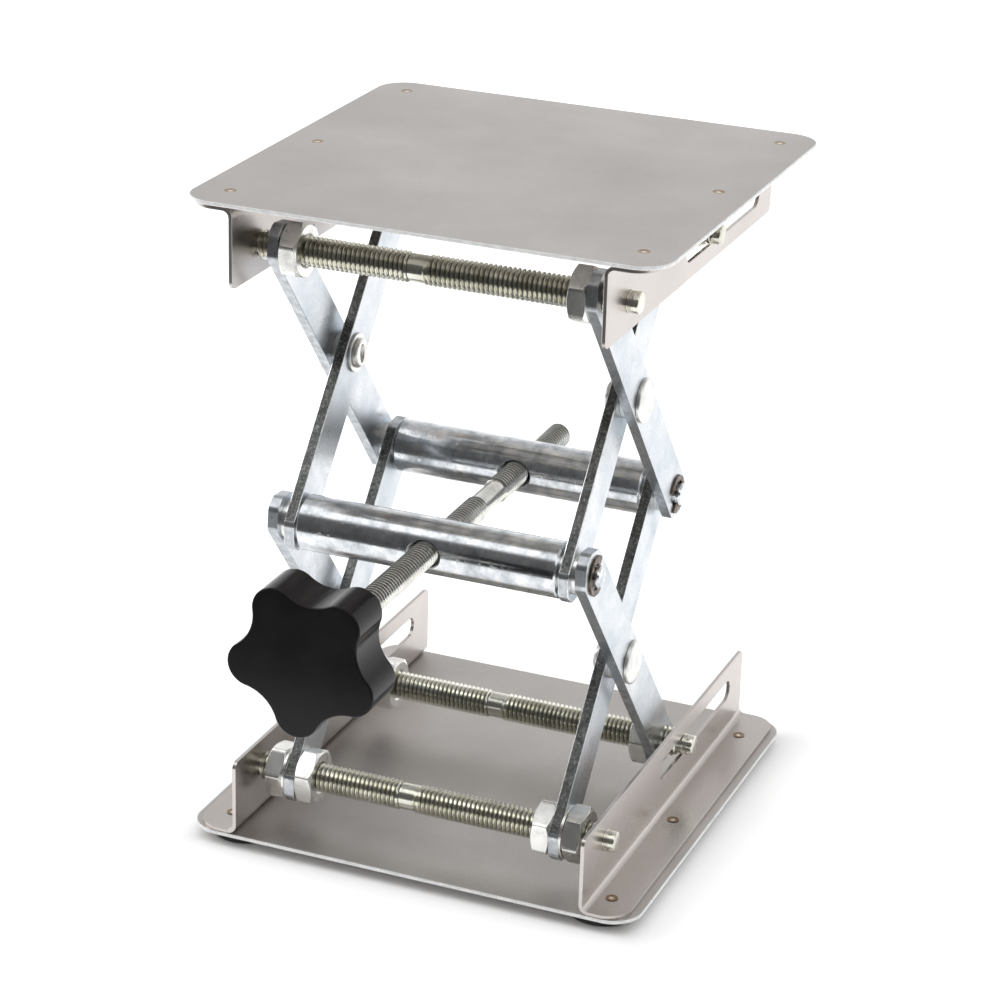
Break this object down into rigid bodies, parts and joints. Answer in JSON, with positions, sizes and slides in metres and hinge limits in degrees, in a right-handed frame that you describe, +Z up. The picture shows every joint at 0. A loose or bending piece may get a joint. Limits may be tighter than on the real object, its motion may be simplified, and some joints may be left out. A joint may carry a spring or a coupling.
{
  "type": "lab jack",
  "caption": "Square two-plate scissor lab jack with crossed flat arms, threaded cross rods and a lead screw with a black star knob.",
  "frame": {"origin": "on the bench under the middle of the base plate", "axes": "+X along the cross rods to the right, +Y along the lead screw away from the knob, +Z up"},
  "size_m": [0.15, 0.2218, 0.2108],
  "materials": {
    "stainless_sheet": "satin stainless sheet",
    "bracket_steel": "bright zinc plated or stainless sheet, brushed along its length",
    "foot_rubber": "black rubber, matt",
    "zinc_arm": "zinc plated flat bar, cloudy, with rough sheared edges",
    "rod_steel": "zinc plated threaded rod",
    "bright_zinc": "bright zinc plate",
    "rivet_steel": "zinc plated rivet heads, lightly hammered",
    "clip_bronze": "dark phosphated spring steel",
    "zinc_bar": "zinc plated round bar, mottled",
    "screw_steel": "zinc plated screw thread",
    "insert_steel": "turned steel",
    "knob_plastic": "glossy black moulded plastic"
  },
  "bodies": {
    "base": {"base_plate": "stainless_sheet", "base_bracket_left": "bracket_steel", "base_bracket_right": "bracket_steel", "foot_front_left": "foot_rubber", "foot_front_right": "foot_rubber", "foot_rear_left": "foot_rubber", "foot_rear_right": "foot_rubber"},
    "lower_inner": {"lower_inner_arm_left": "zinc_arm", "lower_inner_arm_right": "zinc_arm", "bottom_front_rod": "rod_steel", "bottom_front_nuts": "bright_zinc", "bottom_front_washers": "bright_zinc"},
    "lower_outer": {"lower_outer_arm_left": "zinc_arm", "lower_outer_arm_right": "zinc_arm", "bottom_rear_rod": "rod_steel", "bottom_rear_nuts": "bright_zinc", "lower_rivets": "rivet_steel", "lower_rivet_spacers": "rivet_steel", "lower_rivet_washers": "rivet_steel"},
    "front_bar": {"front_crossbar": "zinc_bar", "front_bar_washers": "bright_zinc", "front_bar_spacers": "bright_zinc", "front_clips": "clip_bronze"},
    "rear_bar": {"rear_crossbar": "zinc_bar", "rear_bar_washers": "bright_zinc", "rear_bar_spacers": "bright_zinc", "rear_clips": "clip_bronze"},
    "upper_inner": {"upper_inner_arm_left": "zinc_arm", "upper_inner_arm_right": "zinc_arm", "top_rear_rod": "rod_steel", "top_rear_nuts": "bright_zinc", "top_rear_washers": "bright_zinc"},
    "upper_outer": {"upper_outer_arm_left": "zinc_arm", "upper_outer_arm_right": "zinc_arm", "top_front_rod": "rod_steel", "top_front_nuts": "bright_zinc", "upper_rivets": "rivet_steel", "upper_rivet_spacers": "rivet_steel", "upper_rivet_washers": "rivet_steel"},
    "platform": {"top_plate": "stainless_sheet", "top_bracket_left": "bracket_steel", "top_bracket_right": "bracket_steel"},
    "carriage": {"knob_insert": "insert_steel"},
    "knob": {"lead_screw": "screw_steel", "star_knob": "knob_plastic"}
  },
  "joints": [
    {"name": "arm_lift", "type": "hinge", "parent": "base", "child": "lower_inner", "pos_m": [0, -0.0555, 0.021], "axis": [1, 0, 0], "range_deg": [-39.9, 11.6]},
    {"name": "lower_cross", "type": "hinge", "parent": "lower_inner", "child": "lower_outer", "pos_m": [0, -0.0198, 0.06415], "axis": [1, 0, 0], "range_deg": [-23.2, 79.8]},
    {"name": "rear_bar_turn", "type": "hinge", "parent": "lower_inner", "child": "rear_bar", "pos_m": [0, 0.01589, 0.1073], "axis": [1, 0, 0], "range_deg": [-11.6, 39.9]},
    {"name": "upper_outer_fall", "type": "hinge", "parent": "lower_inner", "child": "upper_outer", "pos_m": [0, 0.01589, 0.1073], "axis": [1, 0, 0], "range_deg": [-23.2, 79.8]},
    {"name": "upper_cross", "type": "hinge", "parent": "upper_outer", "child": "upper_inner", "pos_m": [0, -0.0198, 0.15045], "axis": [1, 0, 0], "range_deg": [-79.8, 23.2]},
    {"name": "platform_turn", "type": "hinge", "parent": "upper_outer", "child": "platform", "pos_m": [0, -0.0555, 0.19359], "axis": [1, 0, 0], "range_deg": [-39.9, 11.6]},
    {"name": "front_bar_turn", "type": "hinge", "parent": "lower_outer", "child": "front_bar", "pos_m": [0, -0.0555, 0.1073], "axis": [1, 0, 0], "range_deg": [-39.9, 11.6]},
    {"name": "screw_travel", "type": "slide", "parent": "front_bar", "child": "carriage", "axis": [0, 1, 0], "range_m": [-0.0066, 0.0224]},
    {"name": "knob_turn", "type": "hinge", "parent": "carriage", "child": "knob", "pos_m": [0, -0.128, 0.1073], "axis": [0, 1, 0], "range_deg": [-5266.8, 1531.2]}
  ],
  "couplings": [
    {"joint": "lower_cross", "follows": "arm_lift", "ratio": -2},
    {"joint": "rear_bar_turn", "follows": "arm_lift", "ratio": -1},
    {"joint": "upper_outer_fall", "follows": "arm_lift", "ratio": -2},
    {"joint": "upper_cross", "follows": "arm_lift", "ratio": 2},
    {"joint": "platform_turn", "follows": "arm_lift", "ratio": 1},
    {"joint": "front_bar_turn", "follows": "arm_lift", "ratio": 1},
    {"joint": "screw_travel", "follows": "arm_lift", "m_per_rad": -0.03201},
    {"joint": "knob_turn", "follows": "arm_lift", "ratio": 132}
  ]
}
